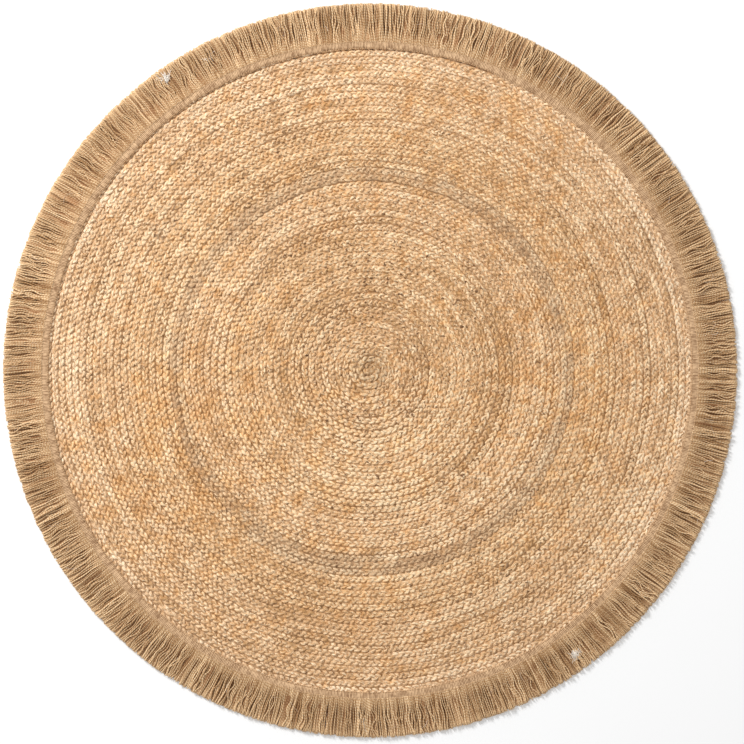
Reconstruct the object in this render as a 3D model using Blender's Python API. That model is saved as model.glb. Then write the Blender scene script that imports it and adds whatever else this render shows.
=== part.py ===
"""Round area rug: a three-strand jute plait wound in a flat spiral and laced turn to turn,
with a woven tape sewn over its rim and a fringe of twisted yarns trimmed to a circle.
Metres, +Z up, origin at the centre of the underside."""

from math import cos, floor, sin, tau

import bmesh
import bpy

# Driving dimensions
RUG_DIAMETER = 1.2  # from fringe tip to fringe tip
FRINGE_LENGTH = 0.0615  # of the yarns that show past the tape
PLAIT_PITCH = 0.0113  # from one turn of the plait to the next
PLAIT_THICKNESS = 0.008
GROOVE_SIDE = 0.0009  # how far the plait's flanks lean in at the top, on each side
TAPE_COVER = 0.0047  # how much wider the tape is than one turn of the plait
TAPE_LIP = 0.0018  # of the tape past the widest turn
TAPE_THICKNESS = 0.0015
FRINGE_THICKNESS = 0.004  # where the yarns lie on the floor
LOCK_LENGTH = 0.040  # of the free, parted ends of the yarns, which lie flat on the floor
LOCK_GAP = 0.0018  # between two locks at their tips
THREAD_WIDTH = 0.0014  # of the lacing thread in the grooves
SEWING_WIDTH = 0.0009  # of the thread in the tape's two seams
SEAM_INSET = 0.0022  # from an edge of the tape to its seam
TAIL_WIDTH = 0.0035  # of the plait where its end is drawn thin under the tape
FIT_GAP = 0.0003  # between any two neighbouring pieces

# How finely the round shapes are stepped
RIM_STEPS = 32  # steps and fringe groups in one turn
FINE_FROM_TURN = 14  # inside this turn the spiral has half as many steps
MIDDLE_FROM_TURN = 4  # and inside this one a quarter as many
TAPE_STEPS = 64
LOCKS_PER_GROUP = 4
TAIL_STEPS = 2

# The plait is spliced from these lengths, each up to a share of the turns
PLAIT_LENGTHS = (
    ("plait_centre", 0.19, (0.56, 0.36, 0.19)),
    ("plait_inner", 0.44, (0.65, 0.42, 0.22)),
    ("plait_middle", 0.58, (0.68, 0.43, 0.22)),
    ("plait_grey_ring", 0.625, (0.52, 0.36, 0.21)),
    ("plait_outer", 0.755, (0.66, 0.41, 0.20)),
    ("plait_rim", 0.865, (0.63, 0.38, 0.19)),
    ("plait_border", 0.95, (0.68, 0.44, 0.23)),
    ("plait_pale_edge", 1.0, (0.71, 0.49, 0.28)),
)
FRINGE_COLOUR = (0.43, 0.27, 0.14)
TAPE_COLOUR = (0.45, 0.30, 0.17)
THREAD_COLOUR = (0.50, 0.34, 0.19)

# Sizes worked out from the driving dimensions
START_TURN = 0.5
TAPE_OUTER = RUG_DIAMETER / 2 - FRINGE_LENGTH
TAPE_INNER = TAPE_OUTER - PLAIT_PITCH - TAPE_COVER
TURNS = floor(((TAPE_OUTER - TAPE_LIP) / PLAIT_PITCH - 0.5) * RIM_STEPS) / RIM_STEPS
TAPE_BOTTOM = PLAIT_THICKNESS + FIT_GAP
TAPE_TOP = TAPE_BOTTOM + TAPE_THICKNESS
SEAM_BOTTOM = TAPE_TOP + FIT_GAP


def point(radius, turn, height):
    """A point of the spiral, which runs outwards clockwise as seen from above."""
    return radius * cos(-tau * turn), radius * sin(-tau * turn), height


def steps_at(turn):
    if turn >= FINE_FROM_TURN:
        return RIM_STEPS
    return RIM_STEPS // 2 if turn >= MIDDLE_FROM_TURN else RIM_STEPS // 4


def stepped(first, last):
    """The turns at which the spiral has a corner, from first to last."""
    turns = [first]
    while turns[-1] < last - 1e-6:
        count = steps_at(turns[-1] + 1e-6)
        turns.append(min(last, (floor(turns[-1] * count + 1e-6) + 1) / count))
    return turns


def inner_edge(turn):
    return PLAIT_PITCH * (turn - 0.5) + FIT_GAP / 2


def outer_edge(turn):
    """The plait's outer edge, drawn in towards its tail over the last steps."""
    full = PLAIT_PITCH * (turn + 0.5) - FIT_GAP / 2
    tail = inner_edge(turn) + TAIL_WIDTH
    left = min(1.0, (TURNS - turn) * RIM_STEPS / TAIL_STEPS)
    return tail + (full - tail) * left


def material(name, colour, roughness):
    made = bpy.data.materials.new(name)
    made.use_nodes = True
    shader = made.node_tree.nodes["Principled BSDF"]
    shader.inputs["Base Color"].default_value = (*colour, 1.0)
    shader.inputs["Roughness"].default_value = roughness
    shader.inputs["Metallic"].default_value = 0.0
    return made


def add_body(name, mesh_data, finish):
    """One closed body, its faces pointing out, as a named object."""
    bmesh.ops.recalc_face_normals(mesh_data, faces=mesh_data.faces)
    if mesh_data.calc_volume(signed=True) < 0:
        bmesh.ops.reverse_faces(mesh_data, faces=mesh_data.faces)
    mesh = bpy.data.meshes.new(name)
    mesh_data.to_mesh(mesh)
    mesh_data.free()
    mesh.materials.append(finish)
    body = bpy.data.objects.new(name, mesh)
    bpy.context.collection.objects.link(body)
    return body


def bridge(mesh_data, rings):
    """Skin the rings of corners one after another, and cap nothing."""
    for near, far in zip(rings, rings[1:]):
        for i in range(len(near)):
            j = (i + 1) % len(near)
            mesh_data.faces.new((near[i], near[j], far[j], far[i]))


def strip(name, sections, finish):
    """A long body through the given cross-sections, closed at both ends."""
    mesh_data = bmesh.new()
    rings = [[mesh_data.verts.new(p) for p in section] for section in sections]
    bridge(mesh_data, rings)
    mesh_data.faces.new(rings[0])
    mesh_data.faces.new(rings[-1])
    return add_body(name, mesh_data, finish)


def plait_section(turn):
    inner, outer = inner_edge(turn), outer_edge(turn)
    return (
        point(inner, turn, 0.0),
        point(outer, turn, 0.0),
        point(outer - GROOVE_SIDE, turn, PLAIT_THICKNESS),
        point(inner + GROOVE_SIDE, turn, PLAIT_THICKNESS),
    )


def make_plait_centre(name, last, finish):
    """The first length. Its start is folded in on itself, so its first turn is a solid round."""
    mesh_data = bmesh.new()
    fold_end = START_TURN + 1
    rings = [
        [mesh_data.verts.new(p) for p in plait_section(turn)]
        for turn in stepped(fold_end, last)
    ]
    bridge(mesh_data, rings)
    mesh_data.faces.new(rings[-1])
    inner_low, outer_low, outer_high, inner_high = rings[0]
    rim = [plait_section(turn)[1:3] for turn in stepped(START_TURN, fold_end)[:-1]]
    low = [mesh_data.verts.new(p[0]) for p in rim] + [outer_low, inner_low]
    high = [mesh_data.verts.new(p[1]) for p in rim] + [outer_high, inner_high]
    mesh_data.faces.new(low)
    mesh_data.faces.new(high)
    for i in range(len(low)):
        j = (i + 1) % len(low)
        if i != len(low) - 2:  # where the round runs on into the second turn
            mesh_data.faces.new((low[i], low[j], high[j], high[i]))
    return add_body(name, mesh_data, finish)


def make_plait():
    """The spliced lengths, end to end along the spiral."""
    begins = START_TURN
    for name, share, colour in PLAIT_LENGTHS:
        finish = material("jute_" + name, colour, 0.85)
        corners = steps_at(TURNS * share)
        ends = round(TURNS * share * corners) / corners
        half_gap = FIT_GAP / (tau * PLAIT_PITCH * ends)
        last = ends if share == 1.0 else ends - half_gap
        if begins == START_TURN:
            make_plait_centre(name, last, finish)
        else:
            sections = [plait_section(turn) for turn in stepped(begins, last)]
            strip(name, sections, finish)
        begins = ends + half_gap


def make_lacing_thread():
    """The thread that joins each turn to the one before, laid in the groove between them."""
    top = PLAIT_THICKNESS - FIT_GAP

    def section(turn):
        radius = PLAIT_PITCH * (turn - 0.5)
        return (
            point(radius - THREAD_WIDTH / 2, turn, top),
            point(radius, turn, top - THREAD_WIDTH),
            point(radius + THREAD_WIDTH / 2, turn, top),
        )

    first = START_TURN + 1 + 4 / RIM_STEPS
    sections = [section(turn) for turn in stepped(first, TURNS)]
    strip("lacing_thread", sections, material("lacing_cotton", THREAD_COLOUR, 0.8))


def ring(name, inner, outer, bottom, top, finish):
    """A flat band laid round the rug, its two ends butted where the plait ends."""
    butt = FIT_GAP / (tau * outer)
    sections = []
    for i in range(TAPE_STEPS + 1):
        turn = TURNS + butt + (1 - 2 * butt) * i / TAPE_STEPS
        sections.append(
            (
                point(inner, turn, bottom),
                point(outer, turn, bottom),
                point(outer, turn, top),
                point(inner, turn, top),
            )
        )
    return strip(name, sections, finish)


def make_tape():
    """The woven tape over the rim of the plait, and the two seams that hold it."""
    woven = material("jute_tape", TAPE_COLOUR, 0.9)
    ring("fringe_tape", TAPE_INNER, TAPE_OUTER, TAPE_BOTTOM, TAPE_TOP, woven)
    sewn = material("sewing_cotton", THREAD_COLOUR, 0.8)
    seam_top = SEAM_BOTTOM + SEWING_WIDTH
    rows = (
        ("tape_seam_inner", TAPE_INNER + SEAM_INSET),
        ("tape_seam_outer", TAPE_OUTER - SEAM_INSET - SEWING_WIDTH),
    )
    for name, radius in rows:
        ring(name, radius, radius + SEWING_WIDTH, SEAM_BOTTOM, seam_top, sewn)


def fringe_rows(k):
    """The corners of one fringe group in plan, row by row from its root to its tips.
    Each corner is a radius and a turn; the group's first side is the one the plait reaches
    first."""
    first = TURNS - 1 + k / RIM_STEPS
    last = first + 1 / RIM_STEPS

    def across(radius, share, margin):
        """A corner at a share of the group's width, kept a margin clear of its sides."""
        clear = margin / (tau * radius)
        return radius, first + clear + (last - first - 2 * clear) * share

    roots = [outer_edge(turn) + FIT_GAP for turn in (first, last)]
    side = FIT_GAP / 2
    tip = RUG_DIAMETER / 2
    rows = [[across(roots[0], 0, side), across(roots[1], 1, side)]]
    rows.append([across(TAPE_OUTER + FIT_GAP, share, side) for share in (0, 1)])
    parted = tip - LOCK_LENGTH
    shares = [i / LOCKS_PER_GROUP for i in range(LOCKS_PER_GROUP + 1)]
    rows.append([across(parted, share, side) for share in shares])
    half_gap = LOCK_GAP / (tau * tip) / 2
    tips = []
    for share, beyond in zip(shares, shares[1:]):
        start = first + (last - first) * share + half_gap
        end = first + (last - first) * beyond - half_gap
        tips.append([(tip, start), (tip, (start + end) / 2), (tip, end)])
    return rows, tips


def make_fringe_group(k, finish):
    """A group of yarns: from its root under the tape it comes down to the floor, and
    there it parts into locks."""
    rows, tips = fringe_rows(k)
    mesh_data = bmesh.new()
    heights = (PLAIT_THICKNESS, PLAIT_THICKNESS, FRINGE_THICKNESS)

    def corners(places, height):
        return [mesh_data.verts.new(point(radius, turn, height)) for radius, turn in places]

    low = [corners(row, 0.0) for row in rows]
    high = [corners(row, height) for row, height in zip(rows, heights)]
    low_tips = [corners(tip, 0.0) for tip in tips]
    high_tips = [corners(tip, FRINGE_THICKNESS) for tip in tips]
    for layer, layer_tips in ((low, low_tips), (high, high_tips)):
        for near, far in zip(layer, layer[1:]):
            mesh_data.faces.new(near + far[::-1])
        for i, tip in enumerate(layer_tips):
            mesh_data.faces.new((layer[-1][i], *tip, layer[-1][i + 1]))

    def outline(layer, layer_tips):
        loop = [row[0] for row in layer]
        for i, tip in enumerate(layer_tips):
            loop += [*tip, layer[-1][i + 1]]
        return loop + [row[-1] for row in layer[-2::-1]]

    walls = list(zip(outline(low, low_tips), outline(high, high_tips)))
    for near, far in zip(walls, walls[1:] + walls[:1]):
        mesh_data.faces.new((near[0], far[0], far[1], near[1]))
    add_body(f"fringe_yarns_{k + 1:02d}", mesh_data, finish)


def make_fringe():
    finish = material("jute_yarn", FRINGE_COLOUR, 0.9)
    for k in range(RIM_STEPS):
        make_fringe_group(k, finish)


for leftover in list(bpy.data.objects):
    bpy.data.objects.remove(leftover, do_unlink=True)
make_plait()
make_lacing_thread()
make_tape()
make_fringe()
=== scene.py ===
import math

import bpy
import numpy as np
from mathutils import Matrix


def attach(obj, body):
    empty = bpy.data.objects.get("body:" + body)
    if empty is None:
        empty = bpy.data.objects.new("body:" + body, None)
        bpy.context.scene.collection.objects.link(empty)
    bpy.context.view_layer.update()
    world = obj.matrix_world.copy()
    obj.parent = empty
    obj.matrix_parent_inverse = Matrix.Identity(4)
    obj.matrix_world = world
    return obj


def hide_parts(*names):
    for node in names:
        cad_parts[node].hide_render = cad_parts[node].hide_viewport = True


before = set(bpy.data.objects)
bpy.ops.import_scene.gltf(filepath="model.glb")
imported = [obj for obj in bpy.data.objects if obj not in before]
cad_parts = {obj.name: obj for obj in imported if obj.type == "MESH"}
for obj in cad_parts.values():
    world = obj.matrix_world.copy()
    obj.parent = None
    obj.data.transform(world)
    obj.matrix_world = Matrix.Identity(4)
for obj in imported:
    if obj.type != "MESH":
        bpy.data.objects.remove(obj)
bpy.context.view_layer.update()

tau = math.tau
joinWithin = 0.00005  # corners of repeats closer than this are one
print("frame loaded:", len(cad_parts), "nodes")


def deselect():
    bpy.ops.object.select_all(action="DESELECT")


def choose(piece):
    deselect()
    piece.select_set(True)
    bpy.context.view_layer.objects.active = piece


def editAll():
    bpy.ops.object.mode_set(mode="EDIT")
    bpy.ops.mesh.select_all(action="SELECT")


def linear(hexColour):
    # sRGB hex to the linear values that shaders take
    parts = [int(hexColour[i:i + 2], 16) / 255 for i in (1, 3, 5)]
    return [c / 12.92 if c <= 0.04045 else ((c + 0.055) / 1.055) ** 2.4 for c in parts] + [1.0]


def addNode(tree, kind, inputs=None, **settings):
    # a node with its settings; an input given as a socket is linked
    made = tree.nodes.new(kind)
    for key, value in settings.items():
        setattr(made, key, value)
    for key, value in (inputs or {}).items():
        if isinstance(value, bpy.types.NodeSocket):
            tree.links.new(value, made.inputs[key])
        else:
            made.inputs[key].default_value = value
    return made


def setStops(ramp, *stops):
    # the positions and colours of a colour ramp
    entries = ramp.color_ramp.elements
    while len(entries) < len(stops):
        entries.new(0.5)
    for entry, (position, colour) in zip(entries, stops):
        entry.position = position
        entry.color = linear(colour)


def newMaterial(name, roughness, sheen):
    made = bpy.data.materials.new(name)
    made.use_nodes = True
    shader = made.node_tree.nodes["Principled BSDF"]
    shader.inputs["Roughness"].default_value = roughness
    shader.inputs["IOR"].default_value = 1.45
    shader.inputs["Specular IOR Level"].default_value = 0.3
    shader.inputs["Sheen Weight"].default_value = sheen
    shader.inputs["Sheen Roughness"].default_value = 0.5
    shader.inputs["Sheen Tint"].default_value = linear("#f2dcb8")
    return made, made.node_tree, shader


def placesOf(mesh):
    values = np.empty(len(mesh.vertices) * 3, np.float32)
    mesh.vertices.foreach_get("co", values)
    return values.reshape(-1, 3).astype(float)


def setPlaces(mesh, values):
    mesh.vertices.foreach_set("co", np.ascontiguousarray(values, np.float32).ravel())
    mesh.update()


def storeFibre(mesh, values):
    # where each corner is on its own strand or yarn: along it, and across it
    made = mesh.attributes.new("fibre", "FLOAT_VECTOR", "POINT")
    made.data.foreach_set("vector", np.ascontiguousarray(values, np.float32).ravel())


def storeFromRow(mesh, values):
    # how far each corner is from the middle of its turn, 1 being the groove, where shade is painted
    made = mesh.attributes.new("fromRow", "FLOAT", "POINT")
    made.data.foreach_set("value", np.ascontiguousarray(values, np.float32))


def repeatAlong(model, name, count, offset, merge=0.0):
    # a copy with its own mesh, repeated by an Array that is then applied
    piece = model.copy()
    piece.data = model.data.copy()
    piece.name = name
    piece.data.name = name
    bpy.context.collection.objects.link(piece)
    choose(piece)
    array = piece.modifiers.new("repeats", "ARRAY")
    array.count = count
    array.use_relative_offset = False
    array.use_constant_offset = True
    array.constant_offset_displace = (offset, 0, 0)
    array.use_merge_vertices = merge > 0
    array.merge_threshold = merge
    bpy.ops.object.modifier_apply(modifier="repeats")
    return piece


def pullAlong(name, sides, halfWidth, halfHeight, path, widths=None):
    # a ring of corners pulled along the path, and scaled as it goes
    deselect()
    bpy.ops.mesh.primitive_circle_add(vertices=sides, radius=1, rotation=(0, tau / 4, 0))
    piece = bpy.context.object
    piece.name = name
    origin = (0, 0, 0)
    editAll()
    bpy.ops.transform.resize(value=(1, halfWidth, halfHeight), center_override=origin)
    bpy.ops.transform.translate(value=path[0])
    for i in range(1, len(path)):
        step = [b - a for a, b in zip(path[i - 1], path[i])]
        bpy.ops.mesh.extrude_region_move(TRANSFORM_OT_translate={"value": step})
        if widths:
            grow = widths[i] / widths[i - 1]
            bpy.ops.transform.resize(value=(1, grow, grow), center_override=path[i])
    bpy.ops.object.mode_set(mode="OBJECT")
    bpy.ops.object.transform_apply(location=True, rotation=True, scale=True)
    return piece


def closeEnds(piece):
    choose(piece)
    editAll()
    bpy.ops.mesh.fill_holes(sides=0)
    bpy.ops.mesh.select_all(action="SELECT")
    bpy.ops.mesh.normals_make_consistent(inside=False)
    bpy.ops.object.mode_set(mode="OBJECT")
    piece.data.shade_smooth()


def joinAll(pieces, name):
    choose(pieces[0])
    for other in pieces[1:]:
        other.select_set(True)
    bpy.ops.object.join()
    pieces[0].name = name
    pieces[0].data.name = name
    return pieces[0]


def dress(piece, material, slot, *nodes):
    piece.data.materials.clear()
    piece.data.materials.append(material)
    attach(piece, "root")
    if nodes:
        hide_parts(*nodes)


def longWaves(seed, count, shortest, longest):
    # a few long ripples over the floor, to be summed
    draw = np.random.default_rng(seed)
    heading = draw.uniform(0, tau, count)
    number = tau / draw.uniform(shortest, longest, count)
    return np.stack([np.cos(heading) * number, np.sin(heading) * number, draw.uniform(0, tau, count)])


def sumWaves(x, y, waves):
    total = np.zeros_like(x)
    for kx, ky, phase in waves.T:
        total += np.sin(kx * x + ky * y + phase)
    return total / math.sqrt(waves.shape[1])


# Plaited jute, sewn turn to turn from the middle outwards. Sizes in metres.
plait = {
    "pitch": 0.0113,  # from one turn to the next
    "firstTurn": 0.16,  # the start is tucked in under the first turn
    "lastTurn": 46.96875,
    "tailTurns": 2 / 32,  # the end is drawn thin over this much of a turn
    "tailWidth": 0.0035,
    "repeat": 0.0315,  # a strand is back on the same side after this
    "rings": 12,  # in one repeat
    "sides": 6,
    "swing": 0.0032,  # of a strand to each side
    "linger": 0.12,  # how long it stays out there
    "lift": 0.0016,  # of a strand above and below the plait's middle
    "halfWidth": 0.0030,
    "halfHeight": 0.0022,
    "strandShift": 0.004,  # of a strand's pattern against the one before it
    "middle": 0.0040,  # above the floor
    "lowest": 0.0001,
    "highest": 0.0081,
    "knotsFrom": -0.05,  # unevenness is drawn from here along the plait
    "knotsTo": 80.0,
    "unevenEvery": 0.008,  # and a strand's changes over this much of it
    "wander": 0.0006,  # of a strand to its sides; a spread, as the next four are
    "widthSpread": 0.14,  # share
    "liftSpread": 0.22,
    "heightSpread": 0.12,
    "slip": 0.0026,  # how far a lobe lies ahead or behind its place
    "slipEvery": 0.028,
    "slipFrom": 0.05,  # along the plait, where it has come in fully
    "swell": 0.03,  # share by which its height changes from place to place
    "drift": 0.0010,  # how far the turns wander, all together
    "driftFrom": 0.04,  # radius at which they are free to
    "driftTo": 0.53,  # radius at which they have stopped
    "driftFade": 0.06,
    "lengths": (  # share of all the turns at which each length of plait ends
        ("centre", 0.19), ("inner", 0.44), ("middle", 0.58), ("grey_ring", 0.625),
        ("outer", 0.755), ("rim", 0.865), ("border", 0.95), ("pale_edge", 1.0),
    ),
}
lengthPerTurn = math.pi * plait["pitch"]  # what is wound up to a turn is this times its square
driftWaves = longWaves(3, 9, 0.07, 0.30)
swellWaves = longWaves(4, 9, 0.05, 0.20)


def lengthTo(turn):
    return lengthPerTurn * (turn ** 2 - plait["firstTurn"] ** 2)


def turnAt(along):
    return np.sqrt(np.maximum(along, 0) / lengthPerTurn + plait["firstTurn"] ** 2)


def drifted(radius, angle):
    # hand sewing lets neighbouring turns wander in and out together
    x, y = radius * np.cos(angle), radius * np.sin(angle)
    free = np.clip(radius / plait["driftFrom"], 0, 1)
    free = free * np.clip((plait["driftTo"] - radius) / plait["driftFade"], 0, 1)
    return radius + plait["drift"] * sumWaves(x, y, driftWaves) * free


def strandMiddle(along, strand):
    phase = tau * (along / plait["repeat"] + strand / 3)
    across = plait["swing"] * (np.sin(phase) + plait["linger"] * np.sin(3 * phase))
    return across, plait["lift"] * np.sin(2 * phase)


def strandModel(strand):
    step = plait["repeat"] / plait["rings"]
    path = []
    for i in range(plait["rings"] + 1):
        path.append((i * step, *map(float, strandMiddle(i * step, strand))))
    return pullAlong("strand", plait["sides"], plait["halfWidth"], plait["halfHeight"], path)


def layOnSpiral(along, across, height, strand):
    # the straight plait wound on, with the unevenness of spun jute
    draw = np.random.default_rng(40 + strand)
    knots = np.arange(plait["knotsFrom"], plait["knotsTo"], plait["unevenEvery"])

    def uneven(amount):
        return np.interp(along, knots, draw.normal(0, amount, len(knots)))

    midAcross, midHeight = strandMiddle(along, strand)
    sideOff = across - midAcross
    upOff = height - midHeight
    across = midAcross + uneven(plait["wander"]) + sideOff * (1 + uneven(plait["widthSpread"]))
    height = midHeight * (1 + uneven(plait["liftSpread"])) + upOff * (1 + uneven(plait["heightSpread"]))
    # no two lobes are the same length
    slipKnots = np.arange(plait["knotsFrom"], plait["knotsTo"], plait["slipEvery"])
    slips = np.random.default_rng(39).normal(0, plait["slip"], len(slipKnots))
    slipped = np.interp(along, slipKnots, slips) * np.clip(along / plait["slipFrom"], 0, 1)
    laid = along + slipped
    turn = turnAt(laid)
    left = np.clip((plait["lastTurn"] - turn) / plait["tailTurns"], 0, 1)
    edge = plait["pitch"] / 2
    fromRow = np.abs(across) / edge
    across = (across + edge) * (plait["tailWidth"] / plait["pitch"] * (1 - left) + left) - edge
    angle = -tau * turn
    radius = drifted(plait["pitch"] * turn + across, angle)
    x, y = radius * np.cos(angle), radius * np.sin(angle)
    height = plait["middle"] + height * (1 + plait["swell"] * sumWaves(x, y, swellWaves))
    height = np.clip(height, plait["lowest"], plait["highest"])
    fibre = np.stack([along + plait["strandShift"] * strand, sideOff, upOff], axis=1)
    return np.stack([x, y, height], axis=1), fibre, fromRow


# Flattened fibre inside the plait, so that nothing shows through it.
packed = {
    "low": 0.0030,  # between these heights no gap is left
    "high": 0.0050,
    "from": 0.004,  # radius
    "endsBefore": 0.7,  # of a turn, before the plait does
    "steps": 180,
}


def packedMiddle(inner, outer):
    low, high = packed["low"], packed["high"]
    deselect()
    bpy.ops.mesh.primitive_plane_add(size=1, rotation=(tau / 4, 0, 0))
    piece = bpy.context.object
    piece.scale = (outer - inner, high - low, 1)
    piece.location = ((inner + outer) / 2, 0, (low + high) / 2)
    bpy.ops.object.transform_apply(location=True, rotation=True, scale=True)
    editAll()
    bpy.ops.mesh.delete(type="ONLY_FACE")
    bpy.ops.mesh.select_all(action="SELECT")
    bpy.ops.mesh.spin(steps=packed["steps"], angle=tau, center=(0, 0, 0), axis=(0, 0, 1))
    bpy.ops.mesh.select_all(action="SELECT")
    bpy.ops.mesh.remove_doubles(threshold=0.00001)
    bpy.ops.object.mode_set(mode="OBJECT")
    places = placesOf(piece.data)
    radius = np.hypot(places[:, 0], places[:, 1])
    along = np.arctan2(places[:, 1], places[:, 0]) * radius
    storeFibre(piece.data, np.stack([along, radius, places[:, 2]], axis=1))
    # the packed fibre takes the painted shade of the groove all over
    storeFromRow(piece.data, np.ones(len(places)))
    return piece


# The plait's own end, turned under in the very middle.
tucked = {"radius": 0.008, "middle": 0.0036, "flatness": 0.40}


def tuckedStart():
    deselect()
    bpy.ops.mesh.primitive_uv_sphere_add(
        segments=12, ring_count=8, radius=tucked["radius"], location=(0, 0, tucked["middle"]),
    )
    piece = bpy.context.object
    piece.scale = (1, 1, tucked["flatness"])
    bpy.ops.object.transform_apply(location=True, rotation=True, scale=True)
    storeFibre(piece.data, placesOf(piece.data))
    return piece


def makePlaitLength(name, fromRepeat, toRepeat, material):
    repeat, pitch = plait["repeat"], plait["pitch"]
    strands = []
    for strand in range(3):
        piece = repeatAlong(strandModels[strand], "strand", toRepeat - fromRepeat, repeat, joinWithin)
        flat = placesOf(piece.data)
        along = flat[:, 0] + fromRepeat * repeat
        places, fibre, fromRow = layOnSpiral(along, flat[:, 1], flat[:, 2], strand)
        setPlaces(piece.data, places)
        storeFibre(piece.data, fibre)
        storeFromRow(piece.data, fromRow)
        strands.append(piece)
    inner = max(pitch * turnAt(fromRepeat * repeat), packed["from"])
    outer = min(pitch * turnAt(toRepeat * repeat), pitch * (plait["lastTurn"] - packed["endsBefore"]))
    strands.append(packedMiddle(inner, outer))
    if fromRepeat == 0:
        strands.append(tuckedStart())
    whole = joinAll(strands, "jute_plait_" + name)
    closeEnds(whole)
    dress(whole, material, "jute_plait_" + name, "plait_" + name)


# Retted jute, loosely spun and plaited by hand: matt, honey to straw in patches, with long
# pale fibres that catch a little light, and now and then a dark fleck of bark.
def juteMaterial(name, deep, mid, pale, flecks, greyWithin=0.0):
    made, tree, shader = newMaterial("retted_jute_plaited_" + name, 0.6, 0.12)
    fibre = addNode(tree, "ShaderNodeAttribute", attribute_name="fibre").outputs["Vector"]
    place = addNode(tree, "ShaderNodeTexCoord").outputs["Object"]
    parts = addNode(tree, "ShaderNodeSeparateXYZ", {0: fibre})

    def alongNoise(scale, detail):
        return addNode(
            tree, "ShaderNodeTexNoise",
            {"W": parts.outputs["X"], "Scale": scale, "Detail": detail},
            noise_dimensions="1D",
        ).outputs["Fac"]

    bundle = alongNoise(2.6, 3.0)  # tone that changes over 0.4 m and less, from bundle to bundle
    lobe = alongNoise(140.0, 1.5)  # each lobe, 10 mm long, a little different from the next
    # patches that follow the turns, two or three turns wide and about as long
    heading = addNode(tree, "ShaderNodeVectorMath", {0: place, 1: (1, 1, 0)}, operation="MULTIPLY")
    away = addNode(
        tree, "ShaderNodeVectorMath", {0: heading.outputs[0]}, operation="LENGTH",
    ).outputs["Value"]
    heading = addNode(tree, "ShaderNodeVectorMath", {0: heading.outputs[0]}, operation="NORMALIZE")
    shell = addNode(
        tree, "ShaderNodeMath", {0: away, 1: 14.0, 2: 1.0}, operation="MULTIPLY_ADD",
    ).outputs[0]
    arcPlace = addNode(
        tree, "ShaderNodeVectorMath", {0: heading.outputs[0], "Scale": shell}, operation="SCALE",
    ).outputs["Vector"]
    arcs = addNode(
        tree, "ShaderNodeTexNoise", {"Vector": arcPlace, "W": 0.0, "Scale": 2.6, "Detail": 3.0},
        noise_dimensions="4D",
    ).outputs["Fac"]
    hue = addNode(
        tree, "ShaderNodeTexNoise", {"Vector": arcPlace, "W": 7.0, "Scale": 3.2, "Detail": 4.0},
        noise_dimensions="4D",
    ).outputs["Fac"]
    # and sunned or damp patches a few hundred mm across, in tone and in warmth
    patch = addNode(
        tree, "ShaderNodeTexNoise", {"Vector": place, "Scale": 2.6, "Detail": 2.0},
    ).outputs["Fac"]
    warm = addNode(
        tree, "ShaderNodeTexNoise", {"Vector": place, "W": 3.0, "Scale": 2.4, "Detail": 2.0},
        noise_dimensions="4D",
    ).outputs["Fac"]
    warm = addNode(
        tree, "ShaderNodeMath", {0: warm, 1: 0.4, 2: -0.2}, operation="MULTIPLY_ADD",
    ).outputs[0]
    hue = addNode(tree, "ShaderNodeMath", {0: hue, 1: warm}, operation="ADD").outputs[0]
    # yarns laid side by side in a strand, drawn 2.4 mm wide so that they show
    twist = addNode(
        tree, "ShaderNodeVectorMath", {0: fibre, 1: (1 / 0.04, 1 / 0.0024, 1 / 0.006)},
        operation="MULTIPLY",
    ).outputs["Vector"]
    twist = addNode(
        tree, "ShaderNodeVectorMath", {0: twist, 1: (tau, tau, tau)}, operation="DOT_PRODUCT",
    ).outputs["Value"]
    yarns = addNode(tree, "ShaderNodeMath", {0: twist}, operation="SINE").outputs[0]
    yarns = addNode(
        tree, "ShaderNodeMath", {0: yarns, 1: 0.5, 2: 0.5}, operation="MULTIPLY_ADD",
    ).outputs[0]
    # fibres 1.2 mm across and 11 mm long, with finer ones: coarser than real, so that they show
    stretched = addNode(
        tree, "ShaderNodeVectorMath", {0: fibre, 1: (90.0, 800.0, 800.0)}, operation="MULTIPLY",
    ).outputs["Vector"]
    threads = addNode(
        tree, "ShaderNodeTexNoise", {"Vector": stretched, "Scale": 1.0, "Detail": 3.0},
    ).outputs["Fac"]
    # loose fibre ends and fuzz, 3 mm across and finer
    fuzz = addNode(
        tree, "ShaderNodeTexNoise", {"Vector": place, "Scale": 340.0, "Detail": 3.0},
    ).outputs["Fac"]
    # painted highlight on the crown of each strand, and painted shade down its sides where the lobes
    # meet
    side = addNode(tree, "ShaderNodeMath", {0: parts.outputs["Y"]}, operation="ABSOLUTE").outputs[0]
    crown = addNode(
        tree, "ShaderNodeMapRange", {"Value": side, "From Min": 0.0028, "From Max": 0.0004},
    ).outputs["Result"]
    shares = (
        (bundle, 0.7), (lobe, 0.5), (arcs, 0.8), (patch, 0.5),
        (threads, 1.8), (fuzz, 1.25), (yarns, 0.1), (crown, 0.13),
    )
    total = None
    for source, share in shares:
        add = total.outputs[0] if total else 0.5 - 0.5 * sum(s for _, s in shares)
        total = addNode(tree, "ShaderNodeMath", {0: source, 1: share, 2: add}, operation="MULTIPLY_ADD")
    ramp = addNode(tree, "ShaderNodeValToRGB", {0: total.outputs[0]})
    setStops(ramp, (0.12, deep), (0.5, mid), (0.88, pale))
    # a tint laid over it: grey straw, plain, then ochre
    tint = addNode(tree, "ShaderNodeValToRGB", {0: hue})
    setStops(tint, (0.34, "#f8f7f5"), (0.5, "#ffffff"), (0.68, "#fbeed9"))
    colour = addNode(
        tree, "ShaderNodeMix", {"Factor": 1.0, 6: ramp.outputs["Color"], 7: tint.outputs["Color"]},
        data_type="RGBA", blend_type="MULTIPLY",
    ).outputs[2]
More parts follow.
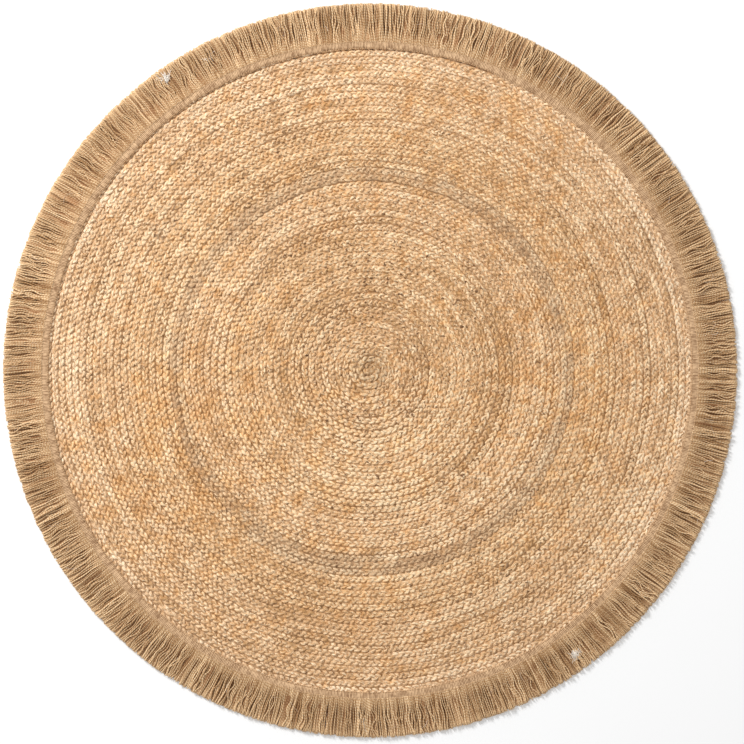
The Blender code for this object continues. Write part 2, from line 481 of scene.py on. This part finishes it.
    # painted shade down in the groove between two turns
    fromRow = addNode(tree, "ShaderNodeAttribute", attribute_name="fromRow").outputs["Fac"]
    grooveAndPaintedShade = addNode(
        tree, "ShaderNodeMapRange",
        {"Value": fromRow, "From Min": 0.75, "From Max": 1.05, "To Max": 0.2},
    ).outputs["Result"]
    colour = addNode(
        tree, "ShaderNodeMix", {"Factor": grooveAndPaintedShade, 6: colour, 7: linear("#c08f60")},
        data_type="RGBA", blend_type="MULTIPLY",
    ).outputs[2]
    # bark flecks of 2 to 4 mm, rare, more of them in some patches
    spots = addNode(
        tree, "ShaderNodeTexNoise", {"Vector": place, "Scale": 190.0, "Detail": 1.0},
    ).outputs["Fac"]
    spots = addNode(
        tree, "ShaderNodeMath", {0: hue, 1: -0.35, 2: spots}, operation="MULTIPLY_ADD",
    ).outputs[0]
    fleck = addNode(
        tree, "ShaderNodeMapRange",
        {"Value": spots, "From Min": 0.485, "From Max": 0.535, "To Max": flecks},
    ).outputs["Result"]
    colour = addNode(
        tree, "ShaderNodeMix", {"Factor": fleck, 6: colour, 7: linear("#70492b")}, data_type="RGBA",
    ).outputs[2]
    if greyWithin:
        # the first turns, handled most, are duller
        near = addNode(
            tree, "ShaderNodeMapRange",
            {"Value": away, "From Min": greyWithin, "From Max": greyWithin * 0.4, "To Max": 0.4},
        ).outputs["Result"]
        colour = addNode(
            tree, "ShaderNodeMix", {"Factor": near, 6: colour, 7: linear("#c4c0b8")},
            data_type="RGBA", blend_type="MULTIPLY",
        ).outputs[2]
    tree.links.new(colour, shader.inputs["Base Color"])
    relief = addNode(
        tree, "ShaderNodeMath", {0: threads, 1: 2.0, 2: yarns}, operation="MULTIPLY_ADD",
    ).outputs[0]
    relief = addNode(
        tree, "ShaderNodeMath", {0: fuzz, 1: 1.2, 2: relief}, operation="MULTIPLY_ADD",
    ).outputs[0]
    bump = addNode(
        tree, "ShaderNodeBump", {"Height": relief, "Strength": 0.7, "Distance": 0.0005},
    ).outputs["Normal"]
    tree.links.new(bump, shader.inputs["Normal"])
    return made


plaitTones = {  # shaded, middling and pale jute, then how dark the flecks are
    "centre": ("#b38959", "#d9b084", "#f3d9b3", 0.9, 0.045),
    "inner": ("#b58a59", "#dcb386", "#f5dbb4", 0.9),
    "middle": ("#b78c5b", "#ddb488", "#f6dcb6", 0.8),
    "grey_ring": ("#a7825e", "#cda87f", "#e9cda8", 0.7),
    "outer": ("#b48856", "#dbb183", "#f4d9b1", 0.7),
    "rim": ("#b58a5a", "#dcb387", "#f5dbb5", 0.7),
    "border": ("#b88e5f", "#deb68b", "#f7deba", 0.6),
    "pale_edge": ("#bc9366", "#e1bb92", "#f9e2c1", 0.5),
}
strandModels = [strandModel(strand) for strand in range(3)]
repeatsInAll = round(lengthTo(plait["lastTurn"]) / plait["repeat"])
start = 0
for name, share in plait["lengths"]:
    stop = repeatsInAll
    if share < 1:
        stop = round(lengthTo(plait["lastTurn"] * share) / plait["repeat"])
    makePlaitLength(name, start, stop, juteMaterial(name, *plaitTones[name]))
    start = stop
for model in strandModels:
    bpy.data.objects.remove(model)
print("plait wound:", repeatsInAll, "repeats")


# The thread that sews each turn to the one before, from side to side of the groove.
lacing = {
    "width": 0.0011,
    "reach": 0.0016,  # to each side of the groove
    "low": 0.0030,
    "high": 0.0052,
    "stitch": 0.021,
    "from": 0.003,  # along the plait
    "endsBefore": 1.1,  # turns, before the plait does
}


def makeLacingThread(material):
    stitch, high, low = lacing["stitch"], lacing["high"], lacing["low"]
    path = (
        (0, -lacing["reach"], low), (stitch / 4, 0, high), (stitch / 2, lacing["reach"], low),
        (stitch * 3 / 4, 0, high), (stitch, -lacing["reach"], low),
    )
    model = pullAlong("stitch", 3, lacing["width"] / 2, lacing["width"] / 2, path)
    last = lengthTo(plait["lastTurn"] - lacing["endsBefore"])
    piece = repeatAlong(model, "cotton_lacing_thread", int(last / stitch), stitch, joinWithin)
    bpy.data.objects.remove(model)
    flat = placesOf(piece.data)
    turn = turnAt(flat[:, 0] + lacing["from"])
    angle = -tau * turn
    radius = drifted(plait["pitch"] * (turn + 0.5) + flat[:, 1], angle)
    setPlaces(piece.data, np.stack([radius * np.cos(angle), radius * np.sin(angle), flat[:, 2]], axis=1))
    storeFibre(piece.data, flat)
    closeEnds(piece)
    dress(piece, material, "lacing_cotton", "lacing_thread")


# Spun and twisted thread, jute coloured: matt, with a fine slanting ply.
def threadMaterial(name, dark, light, plyLength):
    made, tree, shader = newMaterial(name, 0.75, 0.1)
    fibre = addNode(tree, "ShaderNodeAttribute", attribute_name="fibre").outputs["Vector"]
    parts = addNode(tree, "ShaderNodeSeparateXYZ", {0: fibre})
    slant = addNode(
        tree, "ShaderNodeMath", {0: parts.outputs["Y"], 1: 2.0, 2: parts.outputs["X"]},
        operation="MULTIPLY_ADD",
    ).outputs[0]
    turns = addNode(
        tree, "ShaderNodeMath", {0: slant, 1: tau / plyLength}, operation="MULTIPLY",
    ).outputs[0]
    ply = addNode(tree, "ShaderNodeMath", {0: turns}, operation="SINE").outputs[0]
    shade = addNode(
        tree, "ShaderNodeMapRange", {"Value": ply, "From Min": -1.0, "From Max": 0.6},
    ).outputs["Result"]
    colour = addNode(
        tree, "ShaderNodeMix", {"Factor": shade, 6: linear(dark), 7: linear(light)}, data_type="RGBA",
    ).outputs[2]
    tree.links.new(colour, shader.inputs["Base Color"])
    bump = addNode(tree, "ShaderNodeBump", {"Height": shade, "Strength": 0.6, "Distance": 0.0002})
    tree.links.new(bump.outputs["Normal"], shader.inputs["Normal"])
    return made


makeLacingThread(threadMaterial("spun_cotton_lacing", "#8c6b48", "#b08a62", 0.0015))
print("lacing thread sewn")


# The fringe: two-ply jute yarns that come out of the tape and lie on the floor.
fringe = {
    "groups": 32,
    "yarns": 110,  # in a group, in two layers
    "from": 0.5340,  # radius, inside the tape
    "to": 0.5998,
    "apart": 2.0,  # of straight yarns 1 long, before they are laid in place
    "width": 0.0024,
    "sides": 5,
    "rings": 14,
    "edgeHeights": (0.0080, 0.0071),  # upper and lower layer in the tape
    "floorHeights": (0.0043, 0.0014),
    "droopStarts": 0.07,  # share of the length where they leave the tape
    "droopEnds": 0.50,  # and by which they lie flat
    "highest": 0.0102,
    "lowest": 0.0001,
    "plyLength": 0.0045,
    "thickness": (0.88, 1.30),  # upper and lower layer, share of the width
    "thicknessSpread": 0.12,
    "freedom": (1.0, 0.12),  # the lower yarns lie straighter
    "lockLean": 0.0024,  # to one side at the tip; a spread, as the next eight are
    "yarnLean": 0.0013,
    "slowLean": 0.0022,
    "lockWave": 0.0013,  # from side to side along the yarn
    "yarnWave": 0.0008,
    "lockTrim": 0.0012,  # cut short by this much
    "yarnTrim": 0.0011,
    "lockLift": 0.0008,
    "yarnLift": 0.0004,
    "leastLift": -0.0012,
    "waves": (0.8, 2.2),  # in the length of a yarn
    "gather": (0.3, 0.95),  # how far a lock is drawn together half way along
    "spreadAgain": 0.35,  # and the share of that which opens again at its tip
}


def smooth(t):
    t = np.clip(t, 0, 1)
    return t * t * (3 - 2 * t)


def makeFringeGroup(k, material):
    draw = np.random.default_rng(100 + k)
    count = fringe["yarns"]
    piece = repeatAlong(yarnModel, f"jute_fringe_yarns_{k + 1:02d}", count, fringe["apart"])
    flat = placesOf(piece.data).reshape(count, -1, 3)
    t = np.clip(flat[:, :, 0] - fringe["apart"] * np.arange(count)[:, None], 0, 1)
    acrossYarn, upYarn = flat[:, :, 1], flat[:, :, 2]
    order = (np.arange(count) + 0.5 + draw.uniform(-0.3, 0.3, count)) / count
    layer = np.arange(count) % 2  # every other yarn is on top
    # in each layer the yarns fall into locks of one to four
    lock = np.zeros(count, int)
    for which in (0, 1):
        inLayer = (layer == which).sum()
        edges = np.cumsum(draw.integers(1, 5, inLayer))
        lock[layer == which] = np.searchsorted(edges, np.arange(inLayer), side="right") * 2 + which
    locks = lock.max() + 1
    middles = np.array([order[lock == i].mean() if (lock == i).any() else 0 for i in range(locks)])
    slow = np.interp(k + order, np.arange(len(longLean)) / 3, longLean)

    def spread(each):
        # a draw for each lock and a smaller one for each yarn
        return (
            draw.normal(0, fringe["lock" + each], locks)[lock],
            draw.normal(0, fringe["yarn" + each], count),
        )

    free = np.array(fringe["freedom"])[layer]
    lean = sum(spread("Lean")) * free + slow
    gather = draw.uniform(*fringe["gather"], locks)[lock] * free
    wave = sum(spread("Wave")) * free
    phase = draw.uniform(0, 1, locks)[lock] + draw.uniform(-0.1, 0.1, count)
    waves = draw.uniform(*fringe["waves"], locks)[lock]
    trim = sum(np.abs(part) for part in spread("Trim"))
    lift = np.maximum(sum(spread("Lift")), fringe["leastLift"])
    thick = np.array(fringe["thickness"])[layer] + draw.normal(0, fringe["thicknessSpread"], count)
    column = (slice(None), None)
    along = t * (fringe["to"] - fringe["from"] - trim)[column]
    radius = fringe["from"] + along
    pull = (order - middles[lock]) / fringe["groups"] * tau * fringe["to"]
    side = lean[column] * t ** 1.3
    # drawn together half way, spread again towards the ends
    together = smooth(t * 2.2) - fringe["spreadAgain"] * smooth(2 * t - 1)
    side = side - pull[column] * gather[column] * together
    side = side + wave[column] * np.sin(tau * (t * waves[column] + phase[column])) * smooth(2.5 * t)
    top = np.array(fringe["edgeHeights"])[layer][column]
    bottom = np.array(fringe["floorHeights"])[layer][column]
    down = smooth((t - fringe["droopStarts"]) / (fringe["droopEnds"] - fringe["droopStarts"]))
    height = top + (bottom - top) * down + lift[column] * smooth(4 * t - 0.4)
    turn = plait["lastTurn"] - 1 + (k + order) / fringe["groups"]
    angle = -tau * turn[column] + (side + acrossYarn * thick[column]) / radius
    height = np.clip(height + upYarn * thick[column], fringe["lowest"], fringe["highest"])
    places = np.stack([radius * np.cos(angle), radius * np.sin(angle), height], axis=2)
    setPlaces(piece.data, places.reshape(-1, 3))
    around = np.arctan2(upYarn, acrossYarn) / tau
    # a tone for each lock, a little different from yarn to yarn; the lower layer's lies past 100, which
    # marks it for painted shade
    tone = draw.uniform(0, 50, locks)[lock] + draw.uniform(0, 0.8, count) + 100 * layer
    ply = along + draw.uniform(0, 0.01, count)[column]
    fibre = np.stack([ply, around, np.broadcast_to(tone[column], along.shape)], axis=2)
    storeFibre(piece.data, fibre.reshape(-1, 3))
    piece.data.shade_smooth()
    dress(piece, material, "jute_yarn", f"fringe_yarns_{k + 1:02d}")
    return piece


# Two-ply jute yarn, undyed: browner and duller than the plait, hairy, its plies a slanting
# groove every few millimetres, with painted shade down in that groove.
def yarnMaterial():
    made, tree, shader = newMaterial("two_ply_jute_yarn", 0.72, 0.12)
    fibre = addNode(tree, "ShaderNodeAttribute", attribute_name="fibre").outputs["Vector"]
    parts = addNode(tree, "ShaderNodeSeparateXYZ", {0: fibre})
    turns = addNode(
        tree, "ShaderNodeMath", {0: parts.outputs["X"], 1: tau / fringe["plyLength"]},
        operation="MULTIPLY",
    ).outputs[0]
    slant = addNode(
        tree, "ShaderNodeMath", {0: parts.outputs["Y"], 1: tau, 2: turns}, operation="MULTIPLY_ADD",
    ).outputs[0]
    ply = addNode(tree, "ShaderNodeMath", {0: slant}, operation="SINE").outputs[0]
    grooveAndPaintedShade = addNode(
        tree, "ShaderNodeMapRange", {"Value": ply, "From Min": -1.0, "From Max": 0.4},
    ).outputs["Result"]
    tone = addNode(
        tree, "ShaderNodeTexNoise", {"W": parts.outputs["Z"], "Scale": 3.0, "Detail": 2.0},
        noise_dimensions="1D",
    ).outputs["Fac"]
    stretched = addNode(
        tree, "ShaderNodeVectorMath", {0: fibre, 1: (250.0, 9.0, 5.0)}, operation="MULTIPLY",
    ).outputs["Vector"]
    hair = addNode(
        tree, "ShaderNodeTexNoise", {"Vector": stretched, "Scale": 1.0, "Detail": 3.0},
    ).outputs["Fac"]
    mixed = -0.12
    for source, share in ((tone, 0.8), (hair, 0.5)):
        mixed = addNode(
            tree, "ShaderNodeMath", {0: source, 1: share, 2: mixed}, operation="MULTIPLY_ADD",
        ).outputs[0]
    ramp = addNode(tree, "ShaderNodeValToRGB", {0: mixed})
    setStops(ramp, (0.38, "#aa855c"), (0.72, "#f3d5ac"))
    # painted shade in the groove between the plies
    dark = addNode(
        tree, "ShaderNodeMix",
        {"Factor": grooveAndPaintedShade, 6: linear("#d8c2a6"), 7: linear("#ffffff")}, data_type="RGBA",
    ).outputs[2]
    colour = addNode(
        tree, "ShaderNodeMix", {"Factor": 1.0, 6: ramp.outputs["Color"], 7: dark},
        data_type="RGBA", blend_type="MULTIPLY",
    ).outputs[2]
    # the untwisted ends are paler
    place = addNode(tree, "ShaderNodeTexCoord").outputs["Object"]
    away = addNode(tree, "ShaderNodeVectorMath", {0: place}, operation="LENGTH").outputs["Value"]
    end = addNode(
        tree, "ShaderNodeMapRange",
        {"Value": away, "From Min": 0.584, "From Max": 0.600, "To Max": 0.6},
    ).outputs["Result"]
    colour = addNode(
        tree, "ShaderNodeMix", {"Factor": end, 6: colour, 7: linear("#edcb9e")}, data_type="RGBA",
    ).outputs[2]
    # painted shade on the lower yarns, deepest near the tape and less towards their ends
    lower = addNode(
        tree, "ShaderNodeMapRange", {"Value": parts.outputs["Z"], "From Min": 80.0, "From Max": 100.0},
    ).outputs["Result"]
    paintedLowerShade = addNode(
        tree, "ShaderNodeMapRange",
        {"Value": away, "From Min": 0.565, "From Max": 0.598, "To Min": 0.7, "To Max": 0.25},
    ).outputs["Result"]
    paintedLowerShade = addNode(tree, "ShaderNodeMath", {0: paintedLowerShade, 1: lower}, operation="MULTIPLY").outputs[0]
    colour = addNode(
        tree, "ShaderNodeMix", {"Factor": paintedLowerShade, 6: colour, 7: linear("#a67c53")},
        data_type="RGBA", blend_type="MULTIPLY",
    ).outputs[2]
    tree.links.new(colour, shader.inputs["Base Color"])
    bump = addNode(tree, "ShaderNodeBump", {"Height": grooveAndPaintedShade, "Strength": 0.5, "Distance": 0.0003})
    tree.links.new(bump.outputs["Normal"], shader.inputs["Normal"])
    return made


yarnPath = [(i / fringe["rings"], 0.0, 0.0) for i in range(fringe["rings"] + 1)]
yarnModel = pullAlong("yarn", fringe["sides"], fringe["width"] / 2, fringe["width"] / 2, yarnPath)
closeEnds(yarnModel)
longLean = np.interp(
    np.arange(96), np.arange(0, 100, 4),
    np.random.default_rng(9).normal(0, fringe["slowLean"], 25),
)
yarnFinish = yarnMaterial()
fringePieces = [makeFringeGroup(k, yarnFinish) for k in range(fringe["groups"])]


# Fibres that have worked loose and lie curled on the fringe, half of them in three pale tufts.
strays = {
    "count": 90,
    "thickness": 0.16,  # of a yarn's
    "thicknessSpread": (0.7, 1.5),
    "radii": (0.545, 0.580),  # between these they start
    "lengths": (0.010, 0.030),
    "turned": 0.8,  # from pointing outwards, in radians; a spread, as the next is
    "curl": 1.6,
    "leastCurl": 0.2,
    "height": 0.0052,  # on the fringe
    "arch": 0.0016,
    "climb": 0.0020,  # towards the tape
    "climbFrom": 0.560,  # radius
    "climbOver": 0.02,
    "farthest": 0.5990,  # radius
    # degrees, how many, radius
    "tufts": ((-54.0, 44, 0.566), (-235.0, 48, 0.577), (-243.0, 14, 0.570)),
    "tuftDegrees": 0.28,  # the spread of a tuft round the rug, and in and out
    "tuftSpread": 0.0015,
    "tuftThickness": 1.3,  # of the others'
    "tuftLength": 0.6,
    "tuftTurned": 0.5,
}


def makeStrays(material):
    draw = np.random.default_rng(80)
    single = strays["count"]
    places = np.radians(draw.uniform(0, 360, single))
    pale = draw.uniform(0.0, 0.6, single)
    start = draw.uniform(*strays["radii"], single)
    for degrees, count, radius in strays["tufts"]:
        places = np.append(places, np.radians(degrees + draw.normal(0, strays["tuftDegrees"], count)))
        pale = np.append(pale, draw.uniform(0.8, 1.0, count))
        start = np.append(start, radius + draw.normal(0, strays["tuftSpread"], count))
    count = len(places)
    inTuft = np.arange(count) >= single
    piece = repeatAlong(yarnModel, "stray_jute_fibres", count, fringe["apart"])
    flat = placesOf(piece.data).reshape(count, -1, 3)
    column = (slice(None), None)
    t = flat[:, :, 0] - fringe["apart"] * np.arange(count)[column]
    thick = strays["thickness"] * draw.uniform(*strays["thicknessSpread"], count)
    thick = (thick * np.where(inTuft, strays["tuftThickness"], 1))[column]
    length = draw.uniform(*strays["lengths"], count) * np.where(inTuft, strays["tuftLength"], 1)
    turned = draw.normal(0, strays["turned"], count) * np.where(inTuft, strays["tuftTurned"], 1)
    heading = places + turned
    curl = draw.normal(0, strays["curl"], count)
    curl = np.where(np.abs(curl) < strays["leastCurl"], strays["leastCurl"], curl)
    now = heading[column] + curl[column] * t
    bend = (length / curl)[column]
    x = (start * np.cos(places))[column] + bend * (np.sin(now) - np.sin(heading)[column])
    y = (start * np.sin(places))[column] - bend * (np.cos(now) - np.cos(heading)[column])
    x = x - flat[:, :, 1] * thick * np.sin(now)
    y = y + flat[:, :, 1] * thick * np.cos(now)
    away = np.hypot(x, y)
    height = strays["height"] + strays["arch"] * np.sin(t * tau / 2) * draw.uniform(0, 1, count)[column]
    height = height + strays["climb"] * smooth((strays["climbFrom"] - away) / strays["climbOver"])
    height = height + flat[:, :, 2] * thick
    reach = np.minimum(1, strays["farthest"] / away)
    setPlaces(piece.data, np.stack([x * reach, y * reach, height], axis=2).reshape(-1, 3))
    fibre = np.stack([t * length[column], t * 0, np.broadcast_to(pale[column], t.shape)], axis=2)
    storeFibre(piece.data, fibre.reshape(-1, 3))
    piece.data.shade_smooth()
    dress(piece, material, "jute_yarn")


# Single jute fibres, bleached by handling: silky and nearly white at their palest.
def strayMaterial():
    made, tree, shader = newMaterial("loose_jute_fibre", 0.5, 0.2)
    fibre = addNode(tree, "ShaderNodeAttribute", attribute_name="fibre").outputs["Vector"]
    parts = addNode(tree, "ShaderNodeSeparateXYZ", {0: fibre})
    speck = addNode(
        tree, "ShaderNodeTexNoise", {"Vector": fibre, "Scale": 160.0, "Detail": 2.0},
    ).outputs["Fac"]
    tone = addNode(
        tree, "ShaderNodeMath", {0: speck, 1: 0.4, 2: parts.outputs["Z"]}, operation="MULTIPLY_ADD",
    ).outputs[0]
    ramp = addNode(tree, "ShaderNodeValToRGB", {0: tone})
    setStops(ramp, (0.3, "#b08a60"), (1.0, "#efe6da"))
    tree.links.new(ramp.outputs["Color"], shader.inputs["Base Color"])
    return made


makeStrays(strayMaterial())
bpy.data.objects.remove(yarnModel)
print("fringe hung:", fringe["groups"] * fringe["yarns"], "yarns")


# The woven tape over the rim of the plait, with the fringe yarns' ends inside it.
tape = {
    "inner": 0.5225,
    "outer": 0.5385,
    "bottom": 0.0080,
    "top": 0.0094,
    "edgeDrop": 0.0004,  # at its two edges
    "tilt": 0.0004,  # how much lower it is at its outer edge
    "pressed": 0.0025,  # how far its inner edge sinks between the lobes
    "ribs": 1400,  # 2.4 mm apart, coarser than the yarns, so that they show
    "ribHeight": 0.00035,
    "warpPitch": 0.0023,  # of the threads round it
    "edgeWander": 0.0010,  # how far its inner edge strays
    "bends": ((24, 1.0), (300, 0.9)),  # of its inner edge: how many, and how strong
}


def tapeDrop(share):
    # from the crown's height, at a share of the width
    edges = tape["edgeDrop"] * np.abs(2 * share - 1) ** 4
    return edges + tape["tilt"] * share + tape["pressed"] * np.clip(1 - share, 0, 2) ** 8


def makeTape(material):
    inner, outer, top, bottom = tape["inner"], tape["outer"], tape["top"], tape["bottom"]
    deselect()
    bpy.ops.mesh.primitive_circle_add(vertices=16, radius=1, rotation=(tau / 4, 0, 0))
    piece = bpy.context.object
    piece.name = "woven_jute_tape"
    bpy.ops.object.transform_apply(location=True, rotation=True, scale=True)
    # a flat section with round edges, crowned on top
    section = placesOf(piece.data)
    wide = np.clip(section[:, 0] * 1.06, -1, 1)
    tall = np.sign(section[:, 2]) * np.abs(section[:, 2]) ** 0.45
    section[:, 0] = (inner + outer) / 2 + wide * (outer - inner) / 2
    section[:, 2] = (top + bottom) / 2 + tall * (top - bottom) / 2
    setPlaces(piece.data, section)
    editAll()
    bpy.ops.mesh.spin(steps=3 * tape["ribs"], angle=tau, center=(0, 0, 0), axis=(0, 0, 1))
    bpy.ops.mesh.select_all(action="SELECT")
    bpy.ops.mesh.remove_doubles(threshold=0.00001)
    bpy.ops.mesh.normals_make_consistent(inside=False)
    bpy.ops.object.mode_set(mode="OBJECT")
    flat = placesOf(piece.data)
    radius = np.hypot(flat[:, 0], flat[:, 1])
    angle = np.arctan2(flat[:, 1], flat[:, 0])
    height = flat[:, 2]
    over = np.clip((height - (top + bottom) / 2) * 4000, 0, 1)  # 1 on the upper face, 0 below
    share = (radius - inner) / (outer - inner)
    height = height + over * tape["ribHeight"] * (np.cos(angle * tape["ribs"]) * 0.5 - 0.5)
    height = height - tapeDrop(share)
    # its inner edge wavers, over every lobe and more slowly
    draw = np.random.default_rng(60)
    wander = np.zeros(len(angle))
    for bends, amount in tape["bends"]:
        knots = np.append(draw.normal(0, amount, bends), 0)
        knots[-1] = knots[0]
        wander += np.interp((angle / tau % 1) * bends, np.arange(bends + 1), knots)
    radius = radius + tape["edgeWander"] * wander * (1 - share) ** 2
    setPlaces(piece.data, np.stack([radius * np.cos(angle), radius * np.sin(angle), height], axis=1))
    storeFibre(piece.data, np.stack([angle * outer, radius, height], axis=1))
    piece.data.shade_smooth()
    dress(piece, material, "jute_tape", "fringe_tape")
    return piece


# Jute tape, plain woven: matt and browner than the plait, with a fine rib every 2.4 mm across
# it, warp threads about as close round it, and paler worn patches.
def tapeMaterial():
    made, tree, shader = newMaterial("plain_woven_jute_tape", 0.8, 0.12)
    fibre = addNode(tree, "ShaderNodeAttribute", attribute_name="fibre").outputs["Vector"]
    parts = addNode(tree, "ShaderNodeSeparateXYZ", {0: fibre})
    ribs = addNode(
        tree, "ShaderNodeMath", {0: parts.outputs["X"], 1: tape["ribs"] / tape["outer"]},
        operation="MULTIPLY",
    ).outputs[0]
    rib = addNode(tree, "ShaderNodeMath", {0: ribs}, operation="COSINE").outputs[0]
    warps = addNode(
        tree, "ShaderNodeMath", {0: parts.outputs["Y"], 1: tau / tape["warpPitch"]},
        operation="MULTIPLY",
    ).outputs[0]
    warp = addNode(tree, "ShaderNodeMath", {0: warps}, operation="SINE").outputs[0]
    weave = 0.5
    for source, share in ((rib, 0.5), (warp, 0.22)):
        weave = addNode(
            tree, "ShaderNodeMath", {0: source, 1: share, 2: weave}, operation="MULTIPLY_ADD",
        ).outputs[0]
    stretched = addNode(
        tree, "ShaderNodeVectorMath", {0: fibre, 1: (420.0, 90.0, 1.0)}, operation="MULTIPLY",
    ).outputs["Vector"]
    slub = addNode(
        tree, "ShaderNodeTexNoise", {"Vector": stretched, "Scale": 1.0, "Detail": 3.0},
    ).outputs["Fac"]
    # worn patches, about 10 mm across and smaller
    worn = addNode(
        tree, "ShaderNodeTexNoise", {"Vector": fibre, "Scale": 90.0, "Detail": 3.0},
    ).outputs["Fac"]
    mixed = -0.13
    for source, share in ((slub, 0.65), (worn, 0.4), (weave, 0.22)):
        mixed = addNode(
            tree, "ShaderNodeMath", {0: source, 1: share, 2: mixed}, operation="MULTIPLY_ADD",
        ).outputs[0]
    ramp = addNode(tree, "ShaderNodeValToRGB", {0: mixed})
    setStops(ramp, (0.38, "#866243"), (0.63, "#dfba91"))
    tree.links.new(ramp.outputs["Color"], shader.inputs["Base Color"])
    bump = addNode(tree, "ShaderNodeBump", {"Height": weave, "Strength": 0.7, "Distance": 0.0003})
    tree.links.new(bump.outputs["Normal"], shader.inputs["Normal"])
    return made


tapePiece = makeTape(tapeMaterial())
print("tape woven")


# Two rows of stitches hold the tape.
seams = {
    "inner": 0.5251,  # radius
    "outer": 0.5359,
    "stitch": 0.0030,  # long
    "pitch": 0.0040,
    "width": 0.0009,
    "heights": (0.0089, 0.0093, 0.0095),  # its end, its shoulder, its middle
    "wander": 0.00008,  # of a stitch in and out
}


def makeSeam(name, radius, material):
    count = round(tau * radius / seams["pitch"])
    piece = repeatAlong(stitchModel, "cotton_" + name, count, seams["pitch"])
    flat = placesOf(piece.data)
    angle = flat[:, 0] / (count * seams["pitch"]) * tau
    draw = np.random.default_rng(70)
    number = np.floor(flat[:, 0] / seams["pitch"] + 0.5).astype(int) % count
    away = radius + flat[:, 1] + draw.normal(0, seams["wander"], count)[number]
    height = flat[:, 2] - tapeDrop((radius - tape["inner"]) / (tape["outer"] - tape["inner"]))
    setPlaces(piece.data, np.stack([away * np.cos(angle), away * np.sin(angle), height], axis=1))
    storeFibre(piece.data, flat)
    piece.data.shade_smooth()
    dress(piece, material, "sewing_cotton", name)
    return piece


half = seams["stitch"] / 2
endHeight, shoulder, crown = seams["heights"]
stitchPath = [
    (-half, 0.0, endHeight), (-half * 0.7, 0.0, shoulder), (0.0, 0.0, crown),
    (half * 0.7, 0.0, shoulder), (half, 0.0, endHeight),
]
stitchModel = pullAlong(
    "stitch", 4, seams["width"] / 2, seams["width"] / 2, stitchPath, [0.6, 1.0, 1.0, 1.0, 0.6],
)
closeEnds(stitchModel)
sewingFinish = threadMaterial("twisted_sewing_cotton", "#b28c66", "#d3af86", 0.0008)
seamPieces = [makeSeam("tape_seam_" + side, seams[side], sewingFinish) for side in ("inner", "outer")]
bpy.data.objects.remove(stitchModel)
print("seams sewn")


# Floor, light and camera.
studio = {
    "middle": (0.0031, -0.0026),  # what the camera looks straight down at
    "viewWidth": 1.2147,  # of what it sees
    "cameraHeight": 4.0,
    "sensor": 36.0,
    "sky": 0.72,
    "lampWatts": 172.0,
    "lampSize": 1.2,
    "lampAway": 4.3,
    "lampTurn": 135.0,  # where it stands, in degrees from +X towards +Y
    "lampHeight": 34.0,  # degrees above the floor
    "floorSize": 12.0,
    "floorWhite": 0.89,
}
deselect()
bpy.ops.mesh.primitive_plane_add(size=studio["floorSize"])
floor = bpy.context.object
floor.name = "floor"
floorFinish, _, floorShader = newMaterial("white_floor", 0.9, 0.0)
floorShader.inputs["Base Color"].default_value = (*[studio["floorWhite"]] * 3, 1)
floor.data.materials.append(floorFinish)

world = bpy.data.worlds.new("studio")
world.use_nodes = True
world.node_tree.nodes["Background"].inputs["Color"].default_value = (1, 1, 1, 1)
world.node_tree.nodes["Background"].inputs["Strength"].default_value = studio["sky"]
bpy.context.scene.world = world

turn, rise = math.radians(studio["lampTurn"]), math.radians(studio["lampHeight"])
level, up = studio["lampAway"] * math.cos(rise), studio["lampAway"] * math.sin(rise)
deselect()
bpy.ops.object.light_add(
    type="AREA", rotation=(0, tau / 4 - rise, turn),
    location=(level * math.cos(turn), level * math.sin(turn), up),
)
lamp = bpy.context.object.data
lamp.energy = studio["lampWatts"]
lamp.size = studio["lampSize"]

camera = bpy.data.cameras.new("camera")
camera.sensor_width = studio["sensor"]
camera.lens = studio["cameraHeight"] * studio["sensor"] / studio["viewWidth"]
cameraObject = bpy.data.objects.new("camera", camera)
cameraObject.location = (*studio["middle"], studio["cameraHeight"])
bpy.context.collection.objects.link(cameraObject)
bpy.context.scene.camera = cameraObject
bpy.context.scene.view_settings.view_transform = "Standard"

print("studio ready")
